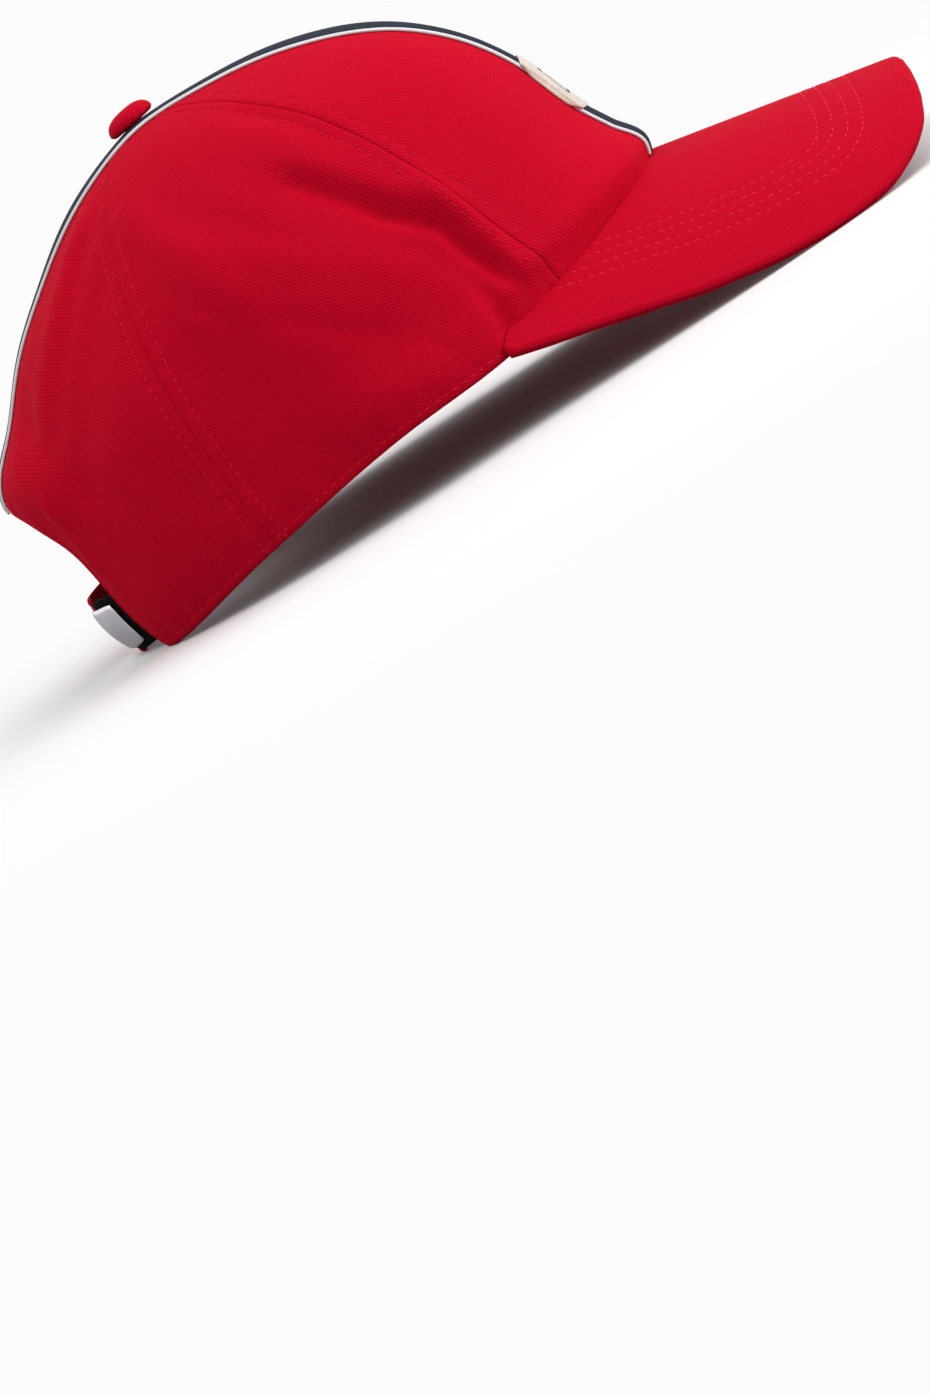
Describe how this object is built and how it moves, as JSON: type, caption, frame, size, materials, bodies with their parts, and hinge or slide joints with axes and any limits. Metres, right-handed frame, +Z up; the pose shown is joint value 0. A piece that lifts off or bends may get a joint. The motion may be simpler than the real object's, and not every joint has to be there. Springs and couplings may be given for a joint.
{
  "type": "baseball cap",
  "caption": "Panelled cotton twill baseball cap with a curved peak, centre ribbon, covered button, plain front patch and a strapped opening at the back.",
  "frame": {"origin": "middle of the footprint, on the surface that the cap rests on", "axes": "+X to the tip of the peak, +Y to the wearer's left, +Z up"},
  "size_m": [0.2848, 0.1594, 0.1337],
  "materials": {
    "red_twill": "woven cotton twill, matt",
    "navy_ribbon": "ribbed ribbon with white edges",
    "cream_patch": "raised, close stitched",
    "black_tape": "woven tape",
    "clasp_metal": "satin"
  },
  "bodies": {
    "root": {"front_panel_left": "red_twill", "side_panel_left": "red_twill", "back_panel_left": "red_twill", "front_panel_right": "red_twill", "side_panel_right": "red_twill", "back_panel_right": "red_twill", "peak_lining": "red_twill", "peak_board": "red_twill", "centre_ribbon": "navy_ribbon", "top_button": "red_twill", "front_badge": "cream_patch", "strap": "red_twill", "strap_tab": "black_tape", "clasp_plate": "clasp_metal"}
  },
  "joints": []
}
